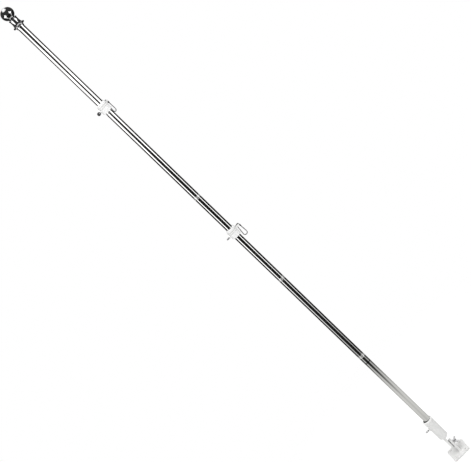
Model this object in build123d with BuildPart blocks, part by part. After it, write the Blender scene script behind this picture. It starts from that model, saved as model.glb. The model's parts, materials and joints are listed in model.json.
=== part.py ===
from build123d import *
from math import acos, atan2, cos, pi, radians, sin, sqrt
import os

os.makedirs("parts", exist_ok=True)

# Screw-together flagpole in an adjustable wall bracket, in millimetres.
# The wall face of the base plate is z = 0. The pole stands along +Z and tilts about X.

# Clearances
running_gap = 0.3  # between pieces that move on each other
fit_gap = 0.1  # between fixed pieces that fit into one another
overrun = 1.0  # how far a cut runs past the face that it opens

# Base plate of the bracket
plate_width = 61.0
plate_depth = 75.0
plate_thickness = 6.0
plate_corner = 6.0
plate_edge = 1.5
screw_spacing_x = 38.0
screw_spacing_y = 52.0
screw_hole = 5.5
screw_head = 10.5
screw_head_angle = 90

# Toothed lugs of the tilt joint, one on the base and one on the socket
pivot_height = 37.0
lug_radius = 16.0
lug_thickness = 7.0
lug_edge = 1.0
ear_foot = 40.0
ear_fillet = 4.0
tooth_height = 1.25
tooth_inner_radius = 6.5
tooth_outer_radius = 13.5
tooth_count = 24
lug_face = tooth_height + running_gap / 2
lug_back = lug_face + lug_thickness

# Pivot bolt, washer and wing nut
bolt_diameter = 6.0
bolt_head_flats = 10.0
bolt_head_height = 3.2
bolt_tail = 2.0
washer_diameter = 13.0
washer_thickness = 1.6
nut_diameter = 12.0
nut_top_diameter = 9.5
nut_height = 8.0
wing_span = 30.0
wing_rise = 14.0
wing_thickness = 2.6
wing_tip_radius = 3.6
wing_edge = 0.9
wing_turn = 15.0

# Socket that takes the pole's foot
socket_bottom = 70.0
socket_length = 86.0
socket_diameter = 31.0
socket_bore = 26.0
socket_floor = 9.0
socket_chamfer = 5.0
socket_blend = 2.0
lip_diameter = 32.6
lip_height = 5.0
lip_edge = 0.8
tang_top_width = 22.0
boss_diameter = 12.0
boss_reach = 17.5
boss_height = 125.0
socket_top = socket_bottom + socket_length

# Pole tube in five screwed sections
pole_diameter = 22.0
pole_wall = 0.8
section_pitch = 356.0
first_joint_height = 465.0
section_count = 5
band_length = 10.0
band_edge = 0.4
stub_length = 25.0
stub_wall = 2.0
stub_edge = 1.0
crimp_offset = 24.0
crimp_width = 1.4
crimp_depth = 0.35
pole_radius = pole_diameter / 2
tube_inner_radius = pole_radius - pole_wall
pole_x = socket_bore / 2 - pole_radius - running_gap
pole_foot = socket_bottom + socket_floor
pole_top = first_joint_height + section_pitch * (section_count - 1)
joint_heights = [first_joint_height + section_pitch * k for k in range(section_count - 1)]

# Finial: a ball on a turned ferrule
ferrule_socket_depth = 26.0
sleeve_diameter = 25.0
sleeve_height = 5.0
flange_diameter = 38.6
flange_height = 7.0
neck_foot_diameter = 30.4
waist_diameter = 25.4
bead_diameter = 28.0
bead_height = 4.0
ferrule_height = 33.5
ball_diameter = 39.5
ball_seat_diameter = 19.0
ball_stud_diameter = 9.0
ball_stud_length = 6.0
ferrule_bottom = pole_top - ferrule_socket_depth

# Collars that carry the spinning rings
collar_diameter = 31.0
collar_length = 31.0
collar_edge = 1.2
groove_offset = 8.0
groove_width = 6.6
groove_diameter = 26.6
cap_step = 0.7
collar_screw_offset = 18.5
upper_collar_rise = 16.0  # above the highest joint
lower_collar_drop = 151.0  # below the joint under the highest one
upper_collar_height = joint_heights[-1] + upper_collar_rise
lower_collar_height = joint_heights[-2] - lower_collar_drop

# Spinning rings, each with an eye whose bar carries the clip
ring_diameter = 31.8
eye_reach = 24.8
eye_bar_diameter = 4.4
eye_width = 9.0
eye_slot_width = 4.2
ring_height = groove_width - 2 * running_gap

# Wire clips with a spring gate
wire_diameter = 2.6
clip_length = 32.0
clip_lean = -1.0
clip_tip_radius = 6.5
hinge_drop = 5.0
hinge_eye_diameter = 4.2
hinge_eye_thickness = 1.1
hinge_pin_diameter = 1.5
hinge_gap = 0.2
hinge_cheek = 0.8
nose_gap_angle = 8.0
clip_top_radius = eye_bar_diameter / 2 + running_gap + wire_diameter / 2

# Spade thumb screws
screw_diameter = 4.0
shoulder_diameter = 8.0
shoulder_thickness = 1.8
screw_standoff = 2.2
spade_width = 11.0
spade_length = 10.0
spade_thickness = 3.0
spade_edge = 0.8

# Collar places along the pole: name, height, turn of its ring, turn of its screw, turn of its spade
collar_places = [
    ("upper", upper_collar_height, 50.0, 195.0, 90.0),
    ("lower", lower_collar_height, 8.0, 190.0, 0.0),
]


def write_piece(builder, name):
    builder.part.label = name
    export_step(builder.part, f"parts/{name}.step")


def outward_plane(height, turn, centre_x):
    """Plane on an upright axis, its normal pointing outward at the given turn."""
    angle = radians(turn)
    return Plane(origin=(centre_x, 0, height), x_dir=(0, 0, 1), z_dir=(cos(angle), sin(angle), 0))


def radial_plane(height, turn):
    """Upright plane through the pole's axis: local x runs outward and local y runs up."""
    angle = radians(turn)
    return Plane(
        origin=(pole_x, 0, height),
        x_dir=(cos(angle), sin(angle), 0),
        z_dir=(sin(angle), -cos(angle), 0),
    )


# One groove between two teeth, laid along +X from the pivot and opening towards +Z
groove_half = pi * tooth_inner_radius / tooth_count
with BuildPart() as tooth_groove:
    with BuildSketch(Plane.YZ):
        with BuildLine():
            Polyline(
                (0, 0),
                (groove_half, tooth_height),
                (groove_half, tooth_height + overrun),
                (-groove_half, tooth_height + overrun),
                (-groove_half, tooth_height),
                close=True,
            )
        make_face()
    extrude(amount=tooth_outer_radius + overrun)

# Base: wall plate with an ear, toothed on its inner face
ear_teeth_plane = Plane(origin=(lug_face, 0, pivot_height), x_dir=(0, 0, 1), z_dir=(-1, 0, 0))
with BuildPart() as bracket_base:
    with BuildSketch(Plane.XY):
        RectangleRounded(plate_width, plate_depth, plate_corner)
    extrude(amount=plate_thickness)
    fillet(bracket_base.faces().sort_by(Axis.Z)[-1].edges(), plate_edge)
    with BuildSketch(Plane.YZ.offset(lug_face)):
        with Locations((0, pivot_height)):
            Circle(lug_radius)
        with Locations((0, plate_thickness / 2)):
            Rectangle(ear_foot, plate_thickness / 2)
        make_hull()
    extrude(amount=lug_thickness)
    ear_rims = bracket_base.edges().filter_by_position(Axis.Z, plate_thickness + ear_fillet, pivot_height * 2)
    fillet(ear_rims.filter_by(Axis.X, reverse=True), lug_edge)
    foot_lines = bracket_base.edges().filter_by_position(
        Axis.Z, plate_thickness - running_gap, plate_thickness + running_gap
    )
    fillet(foot_lines.filter_by_position(Axis.X, lug_face - running_gap, lug_back + running_gap), ear_fillet)
    with BuildSketch(ear_teeth_plane):
        Circle(tooth_outer_radius)
        Circle(tooth_inner_radius, mode=Mode.SUBTRACT)
    extrude(amount=tooth_height)
    with Locations(ear_teeth_plane):
        with PolarLocations(0, tooth_count):
            add(tooth_groove.part, mode=Mode.SUBTRACT)
        Hole(bolt_diameter / 2 + running_gap)
    with Locations(Plane.XY.offset(plate_thickness)):
        with GridLocations(screw_spacing_x, screw_spacing_y, 2, 2):
            CounterSinkHole(screw_hole / 2, screw_head / 2, counter_sink_angle=screw_head_angle)
write_piece(bracket_base, "bracket_base")

# Socket: blind tube on a toothed tang, with a boss for its thumb screw
socket_teeth_plane = Plane(origin=(-lug_face, 0, pivot_height), x_dir=(0, 0, 1), z_dir=(1, 0, 0))
socket_screw_plane = outward_plane(boss_height, 180, 0)
with BuildPart() as bracket_socket:
    with BuildSketch(Plane.XZ):
        with BuildLine():
            Polyline(
                (0, socket_bottom),
                (socket_diameter / 2 - socket_chamfer, socket_bottom),
                (socket_diameter / 2, socket_bottom + socket_chamfer),
                (socket_diameter / 2, socket_top - lip_height),
                (lip_diameter / 2, socket_top - lip_height),
                (lip_diameter / 2, socket_top),
                (0, socket_top),
                close=True,
            )
        make_face()
    revolve(axis=Axis.Z)
    socket_rims = bracket_socket.edges().filter_by(GeomType.CIRCLE).group_by(Axis.Z)
    fillet(socket_rims[0] + socket_rims[1], socket_blend)
    fillet(bracket_socket.edges().filter_by(GeomType.CIRCLE).group_by(Axis.Z)[-1], lip_edge)
    with BuildSketch(Plane.YZ.offset(-lug_face)):
        with Locations((0, pivot_height)):
            Circle(lug_radius)
        with Locations((0, socket_bottom + socket_floor / 2)):
            Rectangle(tang_top_width, socket_floor)
        make_hull()
    extrude(amount=-lug_thickness)
    with BuildSketch(socket_teeth_plane):
        Circle(tooth_outer_radius)
        Circle(tooth_inner_radius, mode=Mode.SUBTRACT)
    extrude(amount=tooth_height)
    with Locations(socket_teeth_plane):
        with PolarLocations(0, tooth_count):
            add(tooth_groove.part, mode=Mode.SUBTRACT)
        Hole(bolt_diameter / 2 + fit_gap)
    with BuildSketch(Plane.YZ.offset(-lug_back)):
        with Locations((0, pivot_height)):
            RegularPolygon(bolt_head_flats / 2 + fit_gap, 6, major_radius=False)
    extrude(amount=bolt_head_height, mode=Mode.SUBTRACT)
    with BuildSketch(socket_screw_plane):
        Circle(boss_diameter / 2)
    extrude(amount=boss_reach)
    with BuildSketch(Plane.XY.offset(pole_foot)):
        Circle(socket_bore / 2)
    extrude(amount=socket_length, mode=Mode.SUBTRACT)
    with BuildSketch(socket_screw_plane):
        Circle(screw_diameter / 2 + fit_gap)
    extrude(amount=boss_reach + overrun, mode=Mode.SUBTRACT)
write_piece(bracket_socket, "bracket_socket")

# Pivot bolt: hex head sunk in the tang, shank through both lugs
washer_face = lug_back + running_gap
nut_face = washer_face + washer_thickness
bolt_seat = -lug_back + bolt_head_height
with BuildPart() as pivot_bolt:
    with BuildSketch(Plane.YZ.offset(-lug_back)):
        with Locations((0, pivot_height)):
            RegularPolygon(bolt_head_flats / 2, 6, major_radius=False)
    extrude(amount=bolt_head_height)
    with BuildSketch(Plane.YZ.offset(bolt_seat)):
        with Locations((0, pivot_height)):
            Circle(bolt_diameter / 2)
    extrude(amount=nut_face + nut_height + bolt_tail - bolt_seat)
    chamfer(pivot_bolt.faces().sort_by(Axis.X)[-1].edges(), bolt_tail / 2)
write_piece(pivot_bolt, "pivot_bolt")

with BuildPart() as pivot_washer:
    with BuildSketch(Plane.YZ.offset(washer_face)):
        with Locations((0, pivot_height)):
            Circle(washer_diameter / 2)
            Circle(bolt_diameter / 2 + fit_gap, mode=Mode.SUBTRACT)
    extrude(amount=washer_thickness)
write_piece(pivot_washer, "pivot_washer")

# Wing nut: tapered hub with two raised wings
wing_angle = radians(wing_turn)
wing_plane = Plane(
    origin=(nut_face, 0, pivot_height),
    x_dir=(0, cos(wing_angle), sin(wing_angle)),
    z_dir=(0, sin(wing_angle), -cos(wing_angle)),
)
nut_plane = Plane(origin=(nut_face, 0, pivot_height), z_dir=(1, 0, 0))
with BuildPart() as pivot_wing_nut:
    for side in (-1, 1):
        with BuildSketch(wing_plane):
            with Locations((side * nut_top_diameter / 2, nut_height / 2)):
                Circle(wing_tip_radius)
            with Locations((side * (wing_span / 2 - wing_tip_radius), wing_rise - wing_tip_radius)):
                Circle(wing_tip_radius)
            make_hull()
        extrude(amount=wing_thickness / 2, both=True)
    wing_faces = pivot_wing_nut.faces().filter_by(GeomType.PLANE).filter_by(wing_plane)
    fillet(wing_faces.edges(), wing_edge)
    with BuildSketch(nut_plane):
        Circle(nut_diameter / 2)
    with BuildSketch(nut_plane.offset(nut_height)):
        Circle(nut_top_diameter / 2)
    loft()
    with BuildSketch(nut_plane):
        Circle(bolt_diameter / 2 + fit_gap)
    extrude(amount=wing_rise, mode=Mode.SUBTRACT)
write_piece(pivot_wing_nut, "pivot_wing_nut")

# Pole sections, numbered from the foot
section_ends = [pole_foot] + joint_heights + [pole_top]
for number in range(1, section_count + 1):
    start = section_ends[number - 1] + (band_length / 2 if number > 1 else 0)
    end = section_ends[number] - (band_length / 2 if number < section_count else 0)
    with BuildPart() as pole_section:
        with BuildSketch(Plane((pole_x, 0, start))):
            Circle(pole_radius)
            Circle(tube_inner_radius, mode=Mode.SUBTRACT)
        extrude(amount=end - start)
        if number == 1:
            with BuildSketch(Plane((pole_x, 0, end - crimp_offset))):
                Circle(pole_radius + overrun)
                Circle(pole_radius - crimp_depth, mode=Mode.SUBTRACT)
            extrude(amount=crimp_width, mode=Mode.SUBTRACT)
    write_piece(pole_section, f"pole_section_{number}")

# Screw couplings between the sections: a band that shows and a hollow stub each way
stub_radius = tube_inner_radius - fit_gap
for number, height in enumerate(joint_heights, start=1):
    with BuildPart() as coupling:
        with BuildSketch(Plane((pole_x, 0, height))):
            Circle(pole_radius)
        extrude(amount=band_length / 2, both=True)
        chamfer(coupling.edges().filter_by(GeomType.CIRCLE), band_edge)
        with BuildSketch(Plane((pole_x, 0, height))):
            Circle(stub_radius)
        extrude(amount=band_length / 2 + stub_length, both=True)
        with BuildSketch(Plane((pole_x, 0, height))):
            Circle(stub_radius - stub_wall)
        extrude(amount=band_length / 2 + stub_length, both=True, mode=Mode.SUBTRACT)
        for stub_end in (0, -1):
            chamfer(coupling.edges().group_by(Axis.Z)[stub_end].sort_by(SortBy.RADIUS)[-1], stub_edge)
    write_piece(coupling, f"pole_coupling_{number}")

# Finial ferrule: sleeve, rounded flange and waisted neck, turned in one piece
flange_bottom = ferrule_bottom + sleeve_height
flange_top = flange_bottom + flange_height
ferrule_top = ferrule_bottom + ferrule_height
bead_bottom = ferrule_top - bead_height
pole_axis = Axis((pole_x, 0, 0), (0, 0, 1))
pole_profile_plane = Plane((pole_x, 0, 0), x_dir=(1, 0, 0), z_dir=(0, -1, 0))
with BuildPart() as finial_ferrule:
    with BuildSketch(pole_profile_plane):
        with BuildLine():
            Polyline(
                (0, ferrule_top),
                (0, ferrule_bottom),
                (sleeve_diameter / 2, ferrule_bottom),
                (sleeve_diameter / 2, flange_bottom),
                (flange_diameter / 2 - flange_height / 2, flange_bottom),
            )
            ThreePointArc(
                (flange_diameter / 2 - flange_height / 2, flange_bottom),
                (flange_diameter / 2, (flange_bottom + flange_top) / 2),
                (flange_diameter / 2 - flange_height / 2, flange_top),
            )
            Line((flange_diameter / 2 - flange_height / 2, flange_top), (neck_foot_diameter / 2, flange_top))
            Spline(
                (neck_foot_diameter / 2, flange_top),
                (waist_diameter / 2, bead_bottom),
                tangents=((-1, 1), (0, 1)),
            )
            ThreePointArc(
                (waist_diameter / 2, bead_bottom),
                (bead_diameter / 2, (bead_bottom + ferrule_top) / 2),
                (waist_diameter / 2, ferrule_top),
            )
            Line((waist_diameter / 2, ferrule_top), (0, ferrule_top))
        make_face()
    revolve(axis=pole_axis)
    with BuildSketch(Plane((pole_x, 0, ferrule_bottom))):
        Circle(pole_radius + fit_gap)
    extrude(amount=ferrule_socket_depth, mode=Mode.SUBTRACT)
    with BuildSketch(Plane((pole_x, 0, ferrule_top))):
        Circle(ball_stud_diameter / 2 + fit_gap)
    extrude(amount=-ball_stud_length - fit_gap, mode=Mode.SUBTRACT)
write_piece(finial_ferrule, "finial_ferrule")

# Finial ball, flattened where it sits on the ferrule, with a stud below
ball_radius = ball_diameter / 2
ball_seat_radius = ball_seat_diameter / 2
ball_height = ferrule_top + sqrt(ball_radius**2 - ball_seat_radius**2)
with BuildPart() as finial_ball:
    with BuildSketch(pole_profile_plane):
        with BuildLine():
            Line((0, ball_height + ball_radius), (0, ferrule_top))
            Line((0, ferrule_top), (ball_seat_radius, ferrule_top))
            ThreePointArc(
                (ball_seat_radius, ferrule_top),
                (ball_radius, ball_height),
                (0, ball_height + ball_radius),
            )
        make_face()
    revolve(axis=pole_axis)
    with BuildSketch(Plane((pole_x, 0, ferrule_top))):
        Circle(ball_stud_diameter / 2)
    extrude(amount=-ball_stud_length)
write_piece(finial_ball, "finial_ball")


def make_thumb_screw(name, screw_plane, tip, seat, spade_turn):
    """Thumb screw along the plane's normal, from its tip past the seat that it is screwed into."""
    shoulder = seat + screw_standoff
    spade_foot = shoulder + shoulder_thickness
    angle = radians(spade_turn)
    across = screw_plane.y_dir * cos(angle) + screw_plane.x_dir * sin(angle)
    spade_plane = Plane(screw_plane.origin, x_dir=across, z_dir=across.cross(screw_plane.z_dir))
    with BuildPart() as thumb_screw:
        with BuildSketch(spade_plane):
            with Locations((0, spade_foot + spade_length - spade_width / 2)):
                Circle(spade_width / 2)
            with Locations((0, spade_foot - shoulder_thickness / 2)):
                Rectangle(shoulder_diameter - spade_edge, shoulder_thickness)
            make_hull()
        extrude(amount=spade_thickness / 2, both=True)
        fillet(thumb_screw.faces().filter_by(spade_plane).edges(), spade_edge)
        with BuildSketch(screw_plane.offset(tip)):
            Circle(screw_diameter / 2)
        extrude(amount=shoulder - tip)
        with BuildSketch(screw_plane.offset(shoulder)):
            Circle(shoulder_diameter / 2)
        extrude(amount=shoulder_thickness)
    write_piece(thumb_screw, name)


pole_side = pole_radius - pole_x + running_gap
make_thumb_screw("socket_thumb_screw", socket_screw_plane, pole_side, boss_reach, 0)

# Clip outline: a belt round the eye's bar and round the tip, as points in the clip's own plane
clip_tip = (eye_reach + clip_lean, -clip_length)
clip_span = sqrt(clip_lean**2 + clip_length**2)
clip_heading = atan2(-clip_length, clip_lean)
leg_angle = acos((clip_top_radius - clip_tip_radius) / clip_span)


def around(centre, radius, angle):
    return (centre[0] + radius * cos(angle), centre[1] + radius * sin(angle))


eye_centre = (eye_reach, 0)
outer_angle = clip_heading + leg_angle
inner_angle = clip_heading - leg_angle
nose_angle = outer_angle - radians(nose_gap_angle)
outer_top = around(eye_centre, clip_top_radius, outer_angle)
outer_foot = around(clip_tip, clip_tip_radius, outer_angle)
inner_top = around(eye_centre, clip_top_radius, inner_angle)
inner_foot = around(clip_tip, clip_tip_radius, inner_angle)
nose = around(clip_tip, clip_tip_radius, nose_angle)
gate_angle = outer_angle - pi / 2
gate_hinge = around(outer_top, hinge_drop, gate_angle)
gate_start = around(gate_hinge, hinge_eye_diameter / 2 + hinge_gap, gate_angle)
cheek_end = around(gate_hinge, hinge_eye_diameter, gate_angle)

for name, height, ring_turn, screw_turn, spade_turn in collar_places:
    collar_bottom = height - collar_length / 2
    collar_top = height + collar_length / 2
    groove_top = collar_top - groove_offset
    groove_bottom = groove_top - groove_width
    ring_middle = (groove_top + groove_bottom) / 2
    screw_plane = outward_plane(collar_top - collar_screw_offset, screw_turn, pole_x)
    clip_plane = radial_plane(ring_middle, ring_turn)

    # Collar: sleeve with a body below the ring and a stepped neck above
    with BuildPart() as collar:
        with BuildSketch(pole_profile_plane):
            with BuildLine():
                Polyline(
                    (pole_radius + running_gap, collar_bottom),
                    (collar_diameter / 2, collar_bottom),
                    (collar_diameter / 2, groove_bottom),
                    (groove_diameter / 2, groove_bottom),
                    (groove_diameter / 2, groove_top),
                    (groove_diameter / 2 - cap_step, groove_top),
                    (groove_diameter / 2 - cap_step, collar_top),
                    (pole_radius + running_gap, collar_top),
                    close=True,
                )
            make_face()
        revolve(axis=pole_axis)
        fillet(collar.edges().group_by(Axis.Z)[0].sort_by(SortBy.RADIUS)[-1], collar_edge)
        with BuildSketch(screw_plane):
            Circle(screw_diameter / 2 + fit_gap)
        extrude(amount=collar_diameter, mode=Mode.SUBTRACT)
    write_piece(collar, f"{name}_collar")

    # Cap: pressed over the neck to keep the ring in its groove
    with BuildPart() as cap:
        with BuildSketch(Plane((pole_x, 0, groove_top))):
            Circle(collar_diameter / 2)
            Circle(groove_diameter / 2 - cap_step + fit_gap, mode=Mode.SUBTRACT)
        extrude(amount=groove_offset)
        fillet(cap.edges().group_by(Axis.Z)[-1].sort_by(SortBy.RADIUS)[-1], collar_edge)
    write_piece(cap, f"{name}_collar_cap")

    # Ring: band in the groove with a forked eye and a round bar
    with BuildPart() as ring:
        with BuildSketch(Plane((pole_x, 0, ring_middle))):
            Circle(ring_diameter / 2)
        extrude(amount=ring_height / 2, both=True)
        with BuildSketch(clip_plane):
            with Locations((eye_reach / 2, 0)):
                Rectangle(eye_reach, ring_height)
            with Locations(eye_centre):
                Circle(ring_height / 2)
        extrude(amount=eye_width / 2, both=True)
        with BuildSketch(clip_plane):
            slot_reach = clip_top_radius + wire_diameter / 2 + 2 * running_gap
            with Locations(eye_centre):
                Rectangle(2 * slot_reach, 2 * slot_reach)
        extrude(amount=eye_slot_width / 2, both=True, mode=Mode.SUBTRACT)
        with BuildSketch(clip_plane):
            with Locations(eye_centre):
                Circle(eye_bar_diameter / 2)
        extrude(amount=eye_width / 2, both=True)
        with BuildSketch(Plane((pole_x, 0, ring_middle))):
            Circle(groove_diameter / 2 + running_gap)
        extrude(amount=ring_height, both=True, mode=Mode.SUBTRACT)
    write_piece(ring, f"{name}_ring")

    # Clip: bent wire from the gate's hinge over the bar and round to the nose
    with BuildPart() as clip:
        with BuildLine(clip_plane) as clip_path:
            Line(gate_hinge, outer_top)
            ThreePointArc(outer_top, around(eye_centre, clip_top_radius, clip_heading + pi), inner_top)
            Line(inner_top, inner_foot)
            ThreePointArc(inner_foot, around(clip_tip, clip_tip_radius, clip_heading), nose)
        with BuildSketch(Plane(clip_path.line @ 0, z_dir=clip_path.line % 0)):
            Circle(wire_diameter / 2)
        sweep(path=clip_path.line)
        with BuildSketch(clip_plane):
            with Locations(gate_hinge):
                Circle(hinge_eye_diameter / 2)
        extrude(amount=hinge_eye_thickness / 2, both=True)
        for side in (-1, 1):
            with BuildSketch(clip_plane.offset(side * hinge_eye_thickness / 2)):
                with Locations(gate_hinge):
                    Circle(hinge_eye_diameter / 2 + hinge_gap)
            extrude(amount=side * wire_diameter, mode=Mode.SUBTRACT)
        with BuildSketch(clip_plane):
            with Locations(gate_hinge):
                Circle(hinge_pin_diameter / 2 + hinge_gap)
        extrude(amount=wire_diameter, both=True, mode=Mode.SUBTRACT)
    write_piece(clip, f"{name}_clip")

    # Gate: straight wire with a fork and pin at its top
    with BuildPart() as gate:
        with BuildLine(clip_plane) as gate_path:
            Line(gate_start, outer_foot)
        with BuildSketch(Plane(gate_path.line @ 0, z_dir=gate_path.line % 0)):
            Circle(wire_diameter / 2)
        sweep(path=gate_path.line)
        for side in (-1, 1):
            with BuildSketch(clip_plane.offset(side * (hinge_eye_thickness / 2 + hinge_gap))):
                with Locations(gate_hinge):
                    Circle(hinge_eye_diameter / 2)
                with Locations(cheek_end):
                    Circle(wire_diameter / 2)
                make_hull()
            extrude(amount=side * hinge_cheek)
        with BuildSketch(clip_plane):
            with Locations(gate_hinge):
                Circle(hinge_pin_diameter / 2)
        extrude(amount=hinge_eye_thickness / 2 + hinge_gap + hinge_cheek, both=True)
    write_piece(gate, f"{name}_gate")

    screw_tip = pole_radius + running_gap
    make_thumb_screw(f"{name}_thumb_screw", screw_plane, screw_tip, collar_diameter / 2, spade_turn)
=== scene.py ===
import json
import math

import bmesh
import bpy
from mathutils import Matrix, Vector


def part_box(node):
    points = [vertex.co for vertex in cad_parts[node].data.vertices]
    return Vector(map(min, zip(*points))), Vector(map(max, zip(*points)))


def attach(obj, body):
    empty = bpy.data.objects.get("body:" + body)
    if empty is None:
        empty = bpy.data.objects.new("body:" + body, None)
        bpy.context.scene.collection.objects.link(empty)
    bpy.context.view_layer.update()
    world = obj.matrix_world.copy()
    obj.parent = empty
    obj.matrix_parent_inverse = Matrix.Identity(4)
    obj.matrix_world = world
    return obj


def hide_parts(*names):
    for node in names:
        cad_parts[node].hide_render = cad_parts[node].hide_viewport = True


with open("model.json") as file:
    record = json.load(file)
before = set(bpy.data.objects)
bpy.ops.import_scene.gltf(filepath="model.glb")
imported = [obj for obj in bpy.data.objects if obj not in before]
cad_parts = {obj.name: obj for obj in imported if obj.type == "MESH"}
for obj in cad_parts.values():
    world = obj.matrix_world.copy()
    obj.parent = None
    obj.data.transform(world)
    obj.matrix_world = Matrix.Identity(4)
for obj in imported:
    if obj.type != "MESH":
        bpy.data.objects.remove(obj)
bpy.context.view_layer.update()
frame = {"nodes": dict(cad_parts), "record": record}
nodes = frame["nodes"]
scene = bpy.context.scene
print("frame loaded with", len(nodes), "nodes")


# shader node helpers

def addMath(tree, operation, *values):
    node = tree.nodes.new("ShaderNodeMath")
    node.operation = operation
    for index, value in enumerate(values):
        if isinstance(value, (int, float)):
            node.inputs[index].default_value = value
        else:
            tree.links.new(value, node.inputs[index])
    return node.outputs[0]


def times(tree, first, *others):
    for value in others:
        first = addMath(tree, "MULTIPLY", first, value)
    return first


def plus(tree, first, *others):
    for value in others:
        first = addMath(tree, "ADD", first, value)
    return first


def softStep(tree, value, low, high, toLow=0.0, toHigh=1.0):
    node = tree.nodes.new("ShaderNodeMapRange")
    node.interpolation_type = "SMOOTHSTEP"
    names = ("Value", "From Min", "From Max", "To Min", "To Max")
    for socket, setting in zip(names, (value, low, high, toLow, toHigh)):
        if isinstance(setting, (int, float)):
            node.inputs[socket].default_value = setting
        else:
            tree.links.new(setting, node.inputs[socket])
    return node.outputs["Result"]


def takeCoords(tree, kind="Object"):
    coords = tree.nodes.new("ShaderNodeTexCoord")
    apart = tree.nodes.new("ShaderNodeSeparateXYZ")
    tree.links.new(coords.outputs[kind], apart.inputs[0])
    return coords.outputs[kind], apart.outputs


def lengthAlong(tree, vector, axes):
    flatten = tree.nodes.new("ShaderNodeVectorMath")
    flatten.operation = "MULTIPLY"
    flatten.inputs[1].default_value = axes
    length = tree.nodes.new("ShaderNodeVectorMath")
    length.operation = "LENGTH"
    tree.links.new(vector, flatten.inputs[0])
    tree.links.new(flatten.outputs["Vector"], length.inputs[0])
    return length.outputs["Value"]


def mixShaders(tree, share, first, second):
    mix = tree.nodes.new("ShaderNodeMixShader")
    tree.links.new(share, mix.inputs[0])
    tree.links.new(first, mix.inputs[1])
    tree.links.new(second, mix.inputs[2])
    return mix.outputs[0]


def objectNoise(tree, stretch, detail, coarse=0.5):
    vector, _ = takeCoords(tree)
    mapping = tree.nodes.new("ShaderNodeMapping")
    mapping.inputs["Scale"].default_value = stretch
    noise = tree.nodes.new("ShaderNodeTexNoise")
    noise.inputs["Scale"].default_value = 1.0
    noise.inputs["Detail"].default_value = detail
    noise.inputs["Roughness"].default_value = coarse
    tree.links.new(vector, mapping.inputs["Vector"])
    tree.links.new(mapping.outputs["Vector"], noise.inputs["Vector"])
    return noise.outputs["Fac"]


def spread(tree, source, low, high, target, fromLow=0.3, fromHigh=0.7):
    ranger = tree.nodes.new("ShaderNodeMapRange")
    for socket, value in zip(("From Min", "From Max", "To Min", "To Max"), (fromLow, fromHigh, low, high)):
        ranger.inputs[socket].default_value = value
    tree.links.new(source, ranger.inputs["Value"])
    tree.links.new(ranger.outputs["Result"], target)


def blendColours(tree, source, first, second, target, fromLow=0.3, fromHigh=0.7):
    ramp = tree.nodes.new("ShaderNodeValToRGB")
    for element, place, colour in zip(ramp.color_ramp.elements, (fromLow, fromHigh), (first, second)):
        element.position = place
        element.color = (*colour, 1)
    tree.links.new(source, ramp.inputs["Fac"])
    tree.links.new(ramp.outputs["Color"], target)
    return ramp.outputs["Color"]


def heightBand(tree, height, half):
    _, axes = takeCoords(tree)
    return addMath(tree, "COMPARE", axes["Z"], height, half)


def insideMask(tree, across, reach, foot, top):
    vector, axes = takeCoords(tree)
    near = addMath(tree, "LESS_THAN", lengthAlong(tree, vector, across), reach)
    level = addMath(tree, "COMPARE", axes["Z"], (foot + top) / 2, (top - foot) / 2)
    return times(tree, near, level)


def overlay(tree, mask, under, tone, target):
    mix = tree.nodes.new("ShaderNodeMix")
    mix.data_type = "RGBA"
    tree.links.new(mask, mix.inputs[0])
    tree.links.new(under, mix.inputs[6])  # sockets 6 and 7 are the two colours
    mix.inputs[7].default_value = (*tone, 1)
    tree.links.new(mix.outputs[2], target)
    return mix.outputs[2]


def bumpFrom(tree, shader, source, depth, strength):
    bump = tree.nodes.new("ShaderNodeBump")
    bump.inputs["Distance"].default_value = depth
    bump.inputs["Strength"].default_value = strength
    tree.links.new(source, bump.inputs["Height"])
    tree.links.new(bump.outputs["Normal"], shader.inputs["Normal"])


def layFinish(name, finish):
    mat = bpy.data.materials.new(name)
    mat.use_nodes = True
    tree = mat.node_tree
    shader = tree.nodes["Principled BSDF"]
    for socket, value in finish["sockets"].items():
        shader.inputs[socket].default_value = value
    grain = objectNoise(tree, **finish["grain"])
    fine = objectNoise(tree, **finish["fineGrain"]) if "fineGrain" in finish else grain
    sheen = fine if finish.get("fineSheen") else grain
    tone = blendColours(tree, grain, finish["dull"], finish["pale"], shader.inputs["Base Color"])
    spread(tree, sheen, finish["roughLow"], finish["roughHigh"], shader.inputs["Roughness"])
    if "bumpDepth" in finish:
        bumpFrom(tree, shader, fine, finish["bumpDepth"], finish["bumpStrength"])
    return mat, tree, shader, tone


# finishes, with heights and radii in metres in the part's own frame

tubeFinish = {
    "sockets": {"Metallic": 1.0},
    "pale": (0.80, 0.80, 0.79), "dull": (0.73, 0.73, 0.72), "roughLow": 0.04, "roughHigh": 0.09,
    "grain": {"stretch": (26, 26, 9), "detail": 4.0, "coarse": 0.6},  # smudges
    "fineGrain": {"stretch": (60, 60, 1400), "detail": 3.0}, "fineSheen": True,  # buffing marks run round
    "bumpDepth": 0.00001, "bumpStrength": 0.25,
    "crimpHeight": 0.4367, "crimpHalf": 0.0018, "crimpShadeTone": (0.13, 0.13, 0.12),  # painted shade in the rolled crimp
}
polishedTube, tree, shader, tone = layFinish("polishedTube", tubeFinish)
# a dark band painted round the tube at the crimp: painted shade in the groove
crimpShade = heightBand(tree, tubeFinish["crimpHeight"], tubeFinish["crimpHalf"])
overlay(tree, crimpShade, tone, tubeFinish["crimpShadeTone"], shader.inputs["Base Color"])

bandFinish = {
    "sockets": {"Metallic": 0.74},
    "pale": (0.98, 0.98, 0.97), "dull": (0.94, 0.94, 0.93), "roughLow": 0.09, "roughHigh": 0.14,
    "grain": {"stretch": (90, 90, 2600), "detail": 2.0},  # turning marks
    "bumpDepth": 0.00002, "bumpStrength": 0.4,
}
satinBand = layFinish("satinBand", bandFinish)[0]

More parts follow.
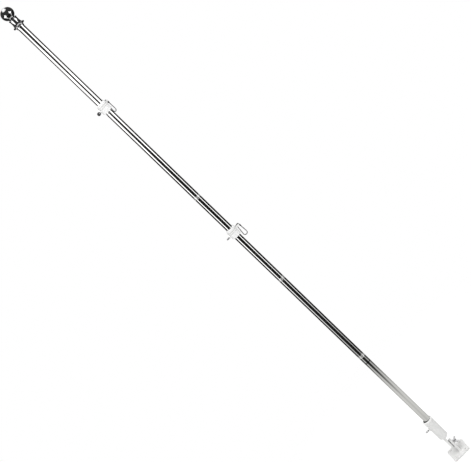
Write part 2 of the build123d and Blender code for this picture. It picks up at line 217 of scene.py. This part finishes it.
chromeFinish = {
    "sockets": {"Metallic": 1.0},
    "pale": (0.80, 0.80, 0.81), "dull": (0.74, 0.74, 0.75), "roughLow": 0.025, "roughHigh": 0.07,
    "grain": {"stretch": (70, 70, 70), "detail": 5.0, "coarse": 0.55},
}
platedChrome = layFinish("platedChrome", chromeFinish)[0]

plasticFinish = {
    "sockets": {"IOR": 1.49},
    "pale": (0.955, 0.955, 0.955), "dull": (0.93, 0.93, 0.925), "roughLow": 0.30, "roughHigh": 0.42,
    "grain": {"stretch": (120, 120, 60), "detail": 3.0},  # flow marks of the moulding
    "fineGrain": {"stretch": (1800, 1800, 1800), "detail": 2.0},
    "bumpDepth": 0.00003, "bumpStrength": 0.3,
}
mouldedPlastic = layFinish("mouldedPlastic", plasticFinish)[0]

ringFinish = {  # the spinning rings are a greyer, harder plastic
    "sockets": {"IOR": 1.53},
    "pale": (0.90, 0.90, 0.89), "dull": (0.87, 0.87, 0.86), "roughLow": 0.34, "roughHigh": 0.46,
    "grain": {"stretch": (150, 150, 300), "detail": 3.0},
    "fineGrain": {"stretch": (2000, 2000, 2000), "detail": 2.0},
    "bumpDepth": 0.00003, "bumpStrength": 0.3,
    "edgeHeights": (1.0269, 1.0335, 1.5499, 1.5565), "edgeHalf": 0.0007, "edgeShadeTone": (0.32, 0.32, 0.31),
}
ringPlastic, tree, shader, tone = layFinish("ringPlastic", ringFinish)
for edgeHeight in ringFinish["edgeHeights"]:  # painted shade in the gaps where a ring meets its collar
    gapShade = heightBand(tree, edgeHeight, ringFinish["edgeHalf"])
    tone = overlay(tree, gapShade, tone, ringFinish["edgeShadeTone"], shader.inputs["Base Color"])

coatFinish = {
    "sockets": {"IOR": 1.5},
    "pale": (0.83, 0.83, 0.82), "dull": (0.77, 0.77, 0.76), "roughLow": 0.38, "roughHigh": 0.52,
    "grain": {"stretch": (45, 45, 45), "detail": 6.0, "coarse": 0.6},
    "fineGrain": {"stretch": (900, 900, 900), "detail": 2.0},  # orange peel
    "bumpDepth": 0.00008, "bumpStrength": 0.5,
    "lipHeight": 0.1536, "lipHalf": 0.0026, "lipShadeTone": (0.93, 0.93, 0.92),  # the socket's lip is whiter
    "boreReach": 0.0131, "boreFoot": 0.0785, "boreTop": 0.157, "boreShadeTone": (0.10, 0.10, 0.10),  # painted shade inside the socket's bore
    "toothReach": 0.00142, "toothFoot": 0.012, "toothTop": 0.054, "toothShadeTone": (0.54, 0.54, 0.54),  # painted shade in the gap between the toothed lug faces
}
powderCoat, tree, shader, tone = layFinish("powderCoat", coatFinish)
lipMask = heightBand(tree, coatFinish["lipHeight"], coatFinish["lipHalf"])
tone = overlay(tree, lipMask, tone, coatFinish["lipShadeTone"], shader.inputs["Base Color"])
# the bore and the gap between the toothed lugs are painted darker: painted shade in a recess and between
# parts
for place, across in (("bore", (1, 1, 0)), ("tooth", (1, 0, 0))):
    reach, foot, top = (coatFinish[place + key] for key in ("Reach", "Foot", "Top"))
    paintedShadeMask = insideMask(tree, across, reach, foot, top)
    tone = overlay(tree, paintedShadeMask, tone, coatFinish[place + "ShadeTone"], shader.inputs["Base Color"])

zincFinish = {
    "sockets": {"Metallic": 1.0},
    "pale": (0.52, 0.52, 0.53), "dull": (0.36, 0.36, 0.37), "roughLow": 0.10, "roughHigh": 0.20,
    "grain": {"stretch": (320, 320, 320), "detail": 5.0, "coarse": 0.65},  # spangle
    "bumpDepth": 0.00003, "bumpStrength": 0.3,
    "neckReach": 0.0178, "neckFoot": 0.9, "neckTop": 1.7, "neckShadeTone": (0.94, 0.94, 0.93),
}
zincPlate, tree, shader, tone = layFinish("zincPlate", zincFinish)
# the collars' screws have a neck of white nylon, which is no metal
neckMask = insideMask(tree, (1, 1, 0), zincFinish["neckReach"], zincFinish["neckFoot"], zincFinish["neckTop"])
overlay(tree, neckMask, tone, zincFinish["neckShadeTone"], shader.inputs["Base Color"])
spread(tree, neckMask, 1.0, 0.0, shader.inputs["Metallic"], 0.0, 1.0)

dullFinish = {
    "sockets": {"Metallic": 0.8},
    "pale": (0.80, 0.80, 0.80), "dull": (0.60, 0.60, 0.61), "roughLow": 0.30, "roughHigh": 0.44,
    "grain": {"stretch": (420, 420, 420), "detail": 5.0, "coarse": 0.6},
    "bumpDepth": 0.00003, "bumpStrength": 0.3,
}
dullZinc = layFinish("dullZinc", dullFinish)[0]

wireFinish = {
    "sockets": {"Metallic": 1.0},
    "pale": (0.46, 0.46, 0.47), "dull": (0.32, 0.32, 0.33), "roughLow": 0.12, "roughHigh": 0.24,
    "grain": {"stretch": (1500, 1500, 120), "detail": 3.0},  # drawn along the wire's long legs
}
drawnWire = layFinish("drawnWire", wireFinish)[0]

slotFinish = {
    "polished_tube": polishedTube, "coupling_metal": satinBand, "chrome": platedChrome,
    "white_plastic": mouldedPlastic, "white_coating": powderCoat,
    "bright_hardware": zincPlate, "clip_wire": drawnWire,
}
slotOf = {part["node"]: part["material_slot"] for part in frame["record"]["subparts"]}
ownFinish = {  # nodes that differ from the rest of their slot
    "pivot_bolt": dullZinc, "pivot_washer": dullZinc, "pivot_wing_nut": dullZinc,
    "socket_thumb_screw": dullZinc, "upper_ring": ringPlastic, "lower_ring": ringPlastic,
}
for nodeName, node in nodes.items():
    node.data.materials.clear()
    node.data.materials.append(ownFinish.get(nodeName, slotFinish[slotOf[nodeName]]))
print("finishes set on", len(nodes), "nodes")


# new pieces are built in metres, in place

samePlace = 1e-7  # metres, under which two points are one
onFoot = 1e-6  # metres, under which a point lies on the foot of the bolt's head
threadShape = {"riseTo": 0.38, "crestTo": 0.5, "fallTo": 0.88, "stepsPerTurn": 28}  # heights in pitches


def latheProfile(bm, profile, centre=(0, 0), steps=96):
    verts = [bm.verts.new((centre[0] + radius, centre[1], height)) for radius, height in profile]
    edges = [bm.edges.new(pair) for pair in zip(verts, verts[1:])]
    if profile[0][0] > 0:  # a ring's outline closes on itself
        edges.append(bm.edges.new((verts[-1], verts[0])))
    bmesh.ops.spin(bm, geom=verts + edges, cent=(*centre, 0), axis=(0, 0, 1),
                   angle=2 * math.pi, steps=steps, use_merge=True)


def threadRidge(bm, root, crest, pitch, start, end):
    turns = math.ceil((end - start) / pitch) + 1
    perTurn = threadShape["stepsPerTurn"]
    outline = [(root, 0.0), (crest, threadShape["riseTo"]), (crest, threadShape["crestTo"]),
               (root, threadShape["fallTo"]), (root, 1.0)]
    verts = [bm.verts.new((radius, 0, start + (share - 1) * pitch)) for radius, share in outline]
    edges = [bm.edges.new(pair) for pair in zip(verts, verts[1:])]
    known = set(bm.verts) - set(verts)
    bmesh.ops.spin(bm, geom=verts + edges, cent=(0, 0, 0), axis=(0, 0, 1), dvec=(0, 0, pitch / perTurn),
                   angle=2 * math.pi * turns, steps=perTurn * turns)
    for vert in bm.verts:
        if vert not in known:
            height = min(max(vert.co.z, start), end)
            depth = min(1.0, (height - start) / pitch, (end - height) / pitch)  # it runs out at both ends
            radius = math.hypot(vert.co.x, vert.co.y)
            limit = root + (crest - root) * depth
            if radius > limit:
                vert.co.x *= limit / radius
                vert.co.y *= limit / radius
            vert.co.z = height


def easeEdges(bm, edges, offset, segments):
    bmesh.ops.bevel(bm, geom=edges, offset=offset, segments=segments, profile=0.5,
                    affect="EDGES", material=-1)


def finishPiece(name, bm, body, slotName, node, sharpAngle=38):
    bmesh.ops.remove_doubles(bm, verts=bm.verts, dist=samePlace)
    bmesh.ops.recalc_face_normals(bm, faces=bm.faces)
    mesh = bpy.data.meshes.new(name)
    bm.to_mesh(mesh)
    bm.free()
    for polygon in mesh.polygons:
        polygon.use_smooth = True
    mesh.set_sharp_from_angle(angle=math.radians(sharpAngle))
    mesh.materials.append(ownFinish.get(node, slotFinish[slotName]))
    piece = bpy.data.objects.new(name, mesh)
    scene.collection.objects.link(piece)
    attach(piece, body)
    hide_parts(node)


# coupling bands: slightly crowned, with a fine groove near each end
bandDesign = {
    "count": 4, "length": 0.0100, "crown": 0.00018, "endRound": 0.0005, "samples": 60,
    "grooveAt": 0.0034, "grooveHalf": 0.0005, "grooveDepth": 0.00028,
    "stubRadius": 0.0101, "boreRadius": 0.0081, "stubChamfer": 0.0010,
}
halfBand, endRound, samples = bandDesign["length"] / 2, bandDesign["endRound"], bandDesign["samples"]
stub, bore, chamfer = bandDesign["stubRadius"], bandDesign["boreRadius"], bandDesign["stubChamfer"]
for number in range(1, bandDesign["count"] + 1):
    low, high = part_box(f"pole_coupling_{number}")
    middle = (low + high) / 2
    radius = (high.x - low.x) / 2
    halfStub = (high.z - low.z) / 2
    outline = [(bore, -halfStub), (stub - chamfer, -halfStub), (stub, -halfStub + chamfer), (stub, -halfBand)]
    for index in range(samples + 1):
        height = halfBand * (2 * index / samples - 1)
        size = radius - bandDesign["crown"] * (height / halfBand) ** 2
        fromEnd = halfBand - abs(height)
        if fromEnd < endRound:
            size -= endRound - math.sqrt(endRound ** 2 - (endRound - fromEnd) ** 2)
        fromGroove = abs(abs(height) - bandDesign["grooveAt"])
        if fromGroove < bandDesign["grooveHalf"]:
            wave = math.cos(math.pi * fromGroove / bandDesign["grooveHalf"])
            size -= bandDesign["grooveDepth"] * (1 + wave) / 2
        outline.append((size, height))
    outline += [(stub, halfBand), (stub, halfStub - chamfer), (stub - chamfer, halfStub), (bore, halfStub)]
    bm = bmesh.new()
    latheProfile(bm, [(size, middle.z + height) for size, height in outline], (middle.x, middle.y))
    finishPiece(f"couplingBand_{number}", bm, "pole", "coupling_metal", f"pole_coupling_{number}")
print("coupling bands turned")

# spade thumb screws with a cut thread, drawn along Z from the pole's axis and then turned into place
screwDesign = {
    "shank": 0.0020, "root": 0.00172, "pitch": 0.0007, "tipChamfer": 0.0004, "threadFrom": 0.0003,
    "shoulder": 0.0040, "shoulderThick": 0.0018, "shoulderEdge": 0.00035, "standoff": 0.0022,
    "spadeWidth": 0.0110, "spadeLength": 0.00998, "spadeThick": 0.0030, "spadeFoot": 0.0036,
    "spadeEdge": 0.0008, "edgeSteps": 3, "arcSteps": 28, "shankSteps": 32, "shoulderSteps": 48,
}
thumbScrews = {  # angles in degrees
    "socket_thumb_screw": {"body": "pole", "axisX": 0.0, "height": 0.125,
                           "tip": 0.0096, "seat": 0.0175, "turn": 180, "spadeTurn": 0},
    "upper_thumb_screw": {"body": "upper_collar", "axisX": 0.0017, "height": 1.546,
                          "tip": 0.0113, "seat": 0.0155, "turn": 195, "spadeTurn": 90},
    "lower_thumb_screw": {"body": "lower_collar", "axisX": 0.0017, "height": 1.023,
                          "tip": 0.0113, "seat": 0.0155, "turn": 190, "spadeTurn": 0},
}
root, chamfer = screwDesign["root"], screwDesign["tipChamfer"]
shoulder, edge = screwDesign["shoulder"], screwDesign["shoulderEdge"]
foot, thick, tipRound = screwDesign["spadeFoot"], screwDesign["spadeThick"], screwDesign["spadeWidth"] / 2
for node, screw in thumbScrews.items():
    tip = screw["tip"]
    shoulderAt = screw["seat"] + screwDesign["standoff"]
    spadeAt = shoulderAt + screwDesign["shoulderThick"]
    bm = bmesh.new()
    shankLine = [(0, tip), (root - chamfer, tip), (root, tip + chamfer), (root, shoulderAt), (0, shoulderAt)]
    latheProfile(bm, shankLine, steps=screwDesign["shankSteps"])
    threadFoot = tip + screwDesign["threadFrom"]
    threadRidge(bm, root, screwDesign["shank"], screwDesign["pitch"], threadFoot, shoulderAt)
    shoulderLine = [(0, shoulderAt), (shoulder - edge, shoulderAt), (shoulder, shoulderAt + edge),
                    (shoulder, spadeAt - edge), (shoulder - edge, spadeAt), (0, spadeAt)]
    latheProfile(bm, shoulderLine, steps=screwDesign["shoulderSteps"])
    eyeAt = spadeAt + screwDesign["spadeLength"] - tipRound
    lean = math.hypot(foot, eyeAt - spadeAt)
    tangent = math.atan2(spadeAt - eyeAt, foot) + math.acos(min(1.0, tipRound / lean))
    corners = [(-foot, shoulderAt), (foot, shoulderAt), (foot, spadeAt)]
    for index in range(screwDesign["arcSteps"] + 1):
        angle = tangent + (math.pi - 2 * tangent) * index / screwDesign["arcSteps"]
        corners.append((tipRound * math.cos(angle), eyeAt + tipRound * math.sin(angle)))
    corners.append((-foot, spadeAt))
    before = set(bm.verts)
    flat = bm.faces.new([bm.verts.new((across, -thick / 2, out)) for across, out in corners])
    raised = bmesh.ops.extrude_face_region(bm, geom=[flat])
    top = [item for item in raised["geom"] if isinstance(item, bmesh.types.BMVert)]
    bmesh.ops.translate(bm, verts=top, vec=(0, thick, 0))
    newEdges = [e for e in bm.edges if e.verts[0] not in before]
    rims = [e for e in newEdges if abs(e.verts[0].co.y - e.verts[1].co.y) < samePlace]
    easeEdges(bm, rims, screwDesign["spadeEdge"], screwDesign["edgeSteps"])
    turn, spadeTurn = math.radians(screw["turn"]), math.radians(screw["spadeTurn"])
    outward = Vector((math.cos(turn), math.sin(turn), 0))
    level = Vector((math.sin(turn), -math.cos(turn), 0))
    across = level * math.cos(spadeTurn) + Vector((0, 0, 1)) * math.sin(spadeTurn)
    facing = Matrix((across, outward.cross(across), outward)).transposed().to_4x4()
    seat = Matrix.Translation((screw["axisX"], 0, screw["height"]))
    bmesh.ops.transform(bm, matrix=seat @ facing, verts=bm.verts)
    finishPiece(node.replace("_", "") + "Piece", bm, screw["body"], "bright_hardware", node)
print("thumb screws cut")

# pivot bolt: chamfered hex head in the tang and a threaded tail for the wing nut
boltDesign = {
    "headHeight": 0.0032, "headChamfer": 0.0006, "headSteps": 2, "shank": 0.0030, "shankSteps": 40,
    "root": 0.00262, "pitch": 0.0010, "threadFrom": 0.0060, "threadLead": 0.0004, "tailChamfer": 0.0006,
}
low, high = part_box("pivot_bolt")
middle = (low + high) / 2
length = high.x - low.x
tall, wide = high.z - low.z, high.y - low.y
headRadius = max(tall, wide) / 2
headTurn = math.pi / 2 if tall > wide else 0  # two corners point along the head's longer way
headHeight, shank, root, tail = (boltDesign[key] for key in ("headHeight", "shank", "root", "tailChamfer"))
bm = bmesh.new()
headPlace = Matrix.Translation((0, 0, headHeight / 2)) @ Matrix.Rotation(headTurn, 4, "Z")
bmesh.ops.create_cone(bm, cap_ends=True, segments=6, radius1=headRadius, radius2=headRadius,
                      depth=headHeight, matrix=headPlace)
rim = [e for e in bm.edges if all(v.co.z < onFoot for v in e.verts)]
easeEdges(bm, rim, boltDesign["headChamfer"], boltDesign["headSteps"])
threadStart = boltDesign["threadFrom"] - low.x
boltLine = [(0, headHeight), (shank, headHeight), (shank, threadStart - boltDesign["threadLead"]),
            (root, threadStart), (root, length - tail), (root - tail, length), (0, length)]
latheProfile(bm, boltLine, steps=boltDesign["shankSteps"])
threadRidge(bm, root, shank, boltDesign["pitch"], threadStart, length - tail)
alongX = Matrix(((0, 0, -1), (0, 1, 0), (1, 0, 0))).transposed().to_4x4()
seat = Matrix.Translation((low.x, middle.y, middle.z))
bmesh.ops.transform(bm, matrix=seat @ alongX, verts=bm.verts)
finishPiece("pivotBoltPiece", bm, "pole", "bright_hardware", "pivot_bolt")
print("pivot bolt threaded")


# studio: a pale floor under the wall face, white for the camera, and a white table top in the metal
floorDesign = {
    "radius": 1.15, "drop": 0.0005, "tone": 0.82, "cameraGlow": 0.26, "shadowTo": 0.3, "paperFrom": 1.0,
    "mirrorShadeTone": (0.75, 0.75, 0.73), "whiteTo": 0.56, "goneFrom": 1.09, "frontPull": 0.27, "cornerPush": 0.5,
    "backShare": 0.72, "backFrom": -0.05, "backTo": 0.25,  # the table is dimmer behind the pole
    "frontShare": 0.86, "leanFrom": 0.25, "leanTo": 0.75, "leanGuard": 0.001,  # and straight in front of it
}
bm = bmesh.new()
bmesh.ops.create_circle(bm, cap_ends=True, segments=96, radius=floorDesign["radius"])
floorMesh = bpy.data.meshes.new("studioFloor")
bm.to_mesh(floorMesh)
bm.free()
floor = bpy.data.objects.new("studioFloor", floorMesh)
floor.location.z = -floorDesign["drop"]
scene.collection.objects.link(floor)

floorMat = bpy.data.materials.new("paleFloor")
floorMat.use_nodes = True
tree = floorMat.node_tree
tree.nodes.clear()
path = tree.nodes.new("ShaderNodeLightPath")
openAir = tree.nodes.new("ShaderNodeBsdfTransparent")
vector, axes = takeCoords(tree)
reach = lengthAlong(tree, vector, (1, 1, 1))
aside = addMath(tree, "ABSOLUTE", axes["X"])
nearSide = times(tree, addMath(tree, "MINIMUM", axes["Y"], 0.0), -1.0)

# the table top that metal sees, with its edge pulled in at the front and pushed out at the corners
corner = addMath(tree, "DIVIDE", times(tree, aside, nearSide), reach)
edgeReach = plus(tree, reach, times(tree, nearSide, floorDesign["frontPull"]))
edgeReach = addMath(tree, "SUBTRACT", edgeReach, times(tree, corner, floorDesign["cornerPush"]))
tableFade = softStep(tree, edgeReach, floorDesign["whiteTo"], floorDesign["goneFrom"], 1.0, 0.0)
backGlow = softStep(tree, axes["Y"], floorDesign["backFrom"], floorDesign["backTo"],
                    1.0, floorDesign["backShare"])
lean = addMath(tree, "DIVIDE", aside, plus(tree, nearSide, floorDesign["leanGuard"]))
frontGlow = softStep(tree, lean, floorDesign["leanFrom"], floorDesign["leanTo"],
                     floorDesign["frontShare"], 1.0)
tableGlow = tree.nodes.new("ShaderNodeEmission")
tableGlow.inputs["Color"].default_value = (*floorDesign["mirrorShadeTone"], 1)
tree.links.new(times(tree, backGlow, frontGlow), tableGlow.inputs["Strength"])
tableTop = mixShaders(tree, tableFade, openAir.outputs["BSDF"], tableGlow.outputs["Emission"])

# the paper that the camera sees, which keeps the shadow and melts into the backdrop away from the plate
matte = tree.nodes.new("ShaderNodeBsdfDiffuse")
matte.inputs["Color"].default_value = (floorDesign["tone"],) * 3 + (1,)
cameraGlow = tree.nodes.new("ShaderNodeEmission")
glowLevel = times(tree, path.outputs["Is Camera Ray"], floorDesign["cameraGlow"])
tree.links.new(glowLevel, cameraGlow.inputs["Strength"])
paleTop = tree.nodes.new("ShaderNodeAddShader")
tree.links.new(matte.outputs["BSDF"], paleTop.inputs[0])
tree.links.new(cameraGlow.outputs["Emission"], paleTop.inputs[1])
shadowFade = softStep(tree, reach, floorDesign["shadowTo"], floorDesign["paperFrom"], 1.0, 0.0)
notCamera = addMath(tree, "SUBTRACT", 1.0, path.outputs["Is Camera Ray"])
paperShare = addMath(tree, "MAXIMUM", notCamera, shadowFade)
paper = mixShaders(tree, paperShare, openAir.outputs["BSDF"], paleTop.outputs[0])

output = tree.nodes.new("ShaderNodeOutputMaterial")
tree.links.new(mixShaders(tree, path.outputs["Is Glossy Ray"], paper, tableTop), output.inputs["Surface"])
floorMesh.materials.append(floorMat)
print("floor laid")

# room seen in the metal: dark round the camera, a tall softbox each side, a top light and a white backdrop
room = {  # angles in degrees, heights as the rise of a ray above the horizon
    "dark": 0.012, "darkAbove": 0.04, "ambient": 0.70,
    "coreWaist": 24.0, "coreLow": 46.0, "coreHigh": 38.0, "coreIn": -4.0, "coreOut": 5.0,  # dark half widths
    "coreLowAt": -14.0, "waistFrom": -6.5, "waistTo": -7.5, "coreHighAt": -3.0,  # heights where they change
    "soft": 2.1, "softFoot": 0.75, "dimFrom": -24.0, "dimTo": -16.5,  # levels of the softboxes
    "endRight": 66.5, "endLeft": 74.0, "endFade": 8.0,  # where they end towards the back
    "endSpread": 16.0, "endAbove": -10.0, "endWaist": -6.0, "endRise": 1.0,
    "sideGone": -72.0, "sideFloor": -34.0, "sideCeiling": 17.0, "ceilingFade": 6.0,
    "top": 1.1, "topFrom": 62.0, "topFade": 6.0,
    "back": 0.9, "backFrom": 152.0, "backFade": 8.0, "backGone": -80.0, "backFloor": -30.0,
}
world = bpy.data.worlds.new("studioRoom")
scene.world = world
world.use_nodes = True
tree = world.node_tree
tree.nodes.clear()
_, axes = takeCoords(tree, "Generated")
degree = 180 / math.pi
bearing = times(tree, addMath(tree, "ARCTAN2", axes["X"], times(tree, axes["Y"], -1.0)), degree)
side = addMath(tree, "ABSOLUTE", bearing)
isLeft = addMath(tree, "LESS_THAN", bearing, 0.0)
rise = times(tree, addMath(tree, "ARCSINE", axes["Z"]), degree)

lowGain, highGain = room["coreLow"] - room["coreWaist"], room["coreHigh"] - room["coreWaist"]
coreBelow = softStep(tree, rise, room["coreLowAt"], room["waistFrom"], lowGain, 0.0)
coreAbove = softStep(tree, rise, room["waistTo"], room["coreHighAt"], 0.0, highGain)
coreEdge = plus(tree, coreBelow, coreAbove, room["coreWaist"])
boxStart = softStep(tree, addMath(tree, "SUBTRACT", side, coreEdge), room["coreIn"], room["coreOut"])
spreadIn = softStep(tree, rise, room["coreLowAt"], room["endWaist"], 0.0, room["endSpread"])
spreadOut = softStep(tree, rise, room["endWaist"], room["endRise"], 1.0, 0.0)
pullAbove = softStep(tree, rise, room["endWaist"], room["endRise"], 0.0, room["endAbove"])
sideEnd = softStep(tree, isLeft, 0.0, 1.0, room["endRight"], room["endLeft"])
sideEnd = plus(tree, sideEnd, times(tree, spreadIn, spreadOut), pullAbove)
boxEnd = softStep(tree, addMath(tree, "SUBTRACT", side, sideEnd), -room["endFade"], 0.0, 1.0, 0.0)
boxFoot = softStep(tree, rise, room["sideGone"], room["sideFloor"])
boxHead = softStep(tree, rise, room["sideCeiling"] - room["ceilingFade"], room["sideCeiling"], 1.0, 0.0)
boxLevel = softStep(tree, rise, room["dimFrom"], room["dimTo"], room["softFoot"], room["soft"])
softboxes = times(tree, boxStart, boxEnd, boxFoot, boxHead, boxLevel)

topLight = softStep(tree, rise, room["topFrom"], room["topFrom"] + room["topFade"], 0.0, room["top"])
backAround = softStep(tree, side, room["backFrom"], room["backFrom"] + room["backFade"])
backLevel = softStep(tree, rise, room["backGone"], room["backFloor"], 0.0, room["back"])
backdrop = times(tree, backAround, backLevel)
darkness = softStep(tree, rise, room["coreLowAt"], room["waistFrom"], room["dark"], room["darkAbove"])
glossLevel = plus(tree, softboxes, darkness, topLight, backdrop)
path = tree.nodes.new("ShaderNodeLightPath")
plainMix = tree.nodes.new("ShaderNodeMix")  # diffuse light is even, metal sees the softboxes
plainMix.inputs[2].default_value = room["ambient"]  # sockets 2 and 3 are the two levels
tree.links.new(path.outputs["Is Glossy Ray"], plainMix.inputs[0])
tree.links.new(glossLevel, plainMix.inputs[3])
cameraMix = tree.nodes.new("ShaderNodeMix")  # the camera sees white
cameraMix.inputs[3].default_value = 1.0
tree.links.new(path.outputs["Is Camera Ray"], cameraMix.inputs[0])
tree.links.new(plainMix.outputs[0], cameraMix.inputs[2])
background = tree.nodes.new("ShaderNodeBackground")
background.inputs["Color"].default_value = (1, 1, 1, 1)
tree.links.new(cameraMix.outputs[0], background.inputs["Strength"])
worldOut = tree.nodes.new("ShaderNodeOutputWorld")
tree.links.new(background.outputs["Background"], worldOut.inputs["Surface"])
print("room set")

lamps = {
    "keyLamp": {"at": (-1.7, -2.2, 2.6), "aim": (0, 0, 0.9), "size": 1.2, "power": 17},
    "fillLamp": {"at": (2.2, -1.6, 1.8), "aim": (0, 0, 0.8), "size": 1.2, "power": 8},
    "topLamp": {"at": (0.0, -0.5, 3.4), "aim": (0, 0, 0.0), "size": 1.4, "power": 31},
}
for lampName, lamp in lamps.items():
    data = bpy.data.lights.new(lampName, "AREA")
    data.shape = "SQUARE"
    data.size = lamp["size"]
    data.energy = lamp["power"]
    lampObject = bpy.data.objects.new(lampName, data)
    lampObject.visible_glossy = False  # the room's softboxes already stand for the lamps in the metal
    stand = Vector(lamp["at"])
    facing = (Vector(lamp["aim"]) - stand).to_track_quat("-Z", "Y").to_matrix().to_4x4()
    lampObject.matrix_world = Matrix.Translation(stand) @ facing
    scene.collection.objects.link(lampObject)
print("lamps hung")

# camera at the photograph's angle, angles in degrees
shot = {
    "eye": (0.1222, -3.6270, 2.0878), "azimuth": 1.794, "elevation": 16.358, "roll": -45.974,
    "focalPixels": 1300.0, "imageWidth": 471, "sensor": 36, "clipStart": 0.05, "clipEnd": 50,
}
azimuth, elevation, roll = (math.radians(shot[key]) for key in ("azimuth", "elevation", "roll"))
level = math.cos(elevation)
back = Vector((math.sin(azimuth) * level, -math.cos(azimuth) * level, math.sin(elevation)))
right = (-back).cross(Vector((0, 0, 1))).normalized()
up = right.cross(-back)
rolledRight = math.cos(roll) * right + math.sin(roll) * up
rolledUp = math.cos(roll) * up - math.sin(roll) * right
cameraData = bpy.data.cameras.new("photoCamera")
cameraData.sensor_fit = "HORIZONTAL"
cameraData.sensor_width = shot["sensor"]
cameraData.lens = shot["sensor"] * shot["focalPixels"] / shot["imageWidth"]
cameraData.clip_start = shot["clipStart"]
cameraData.clip_end = shot["clipEnd"]
photoCamera = bpy.data.objects.new("photoCamera", cameraData)
facing = Matrix((rolledRight, rolledUp, back)).transposed().to_4x4()
photoCamera.matrix_world = Matrix.Translation(shot["eye"]) @ facing
scene.collection.objects.link(photoCamera)
scene.camera = photoCamera
scene.view_settings.view_transform = "Standard"
print("camera placed")
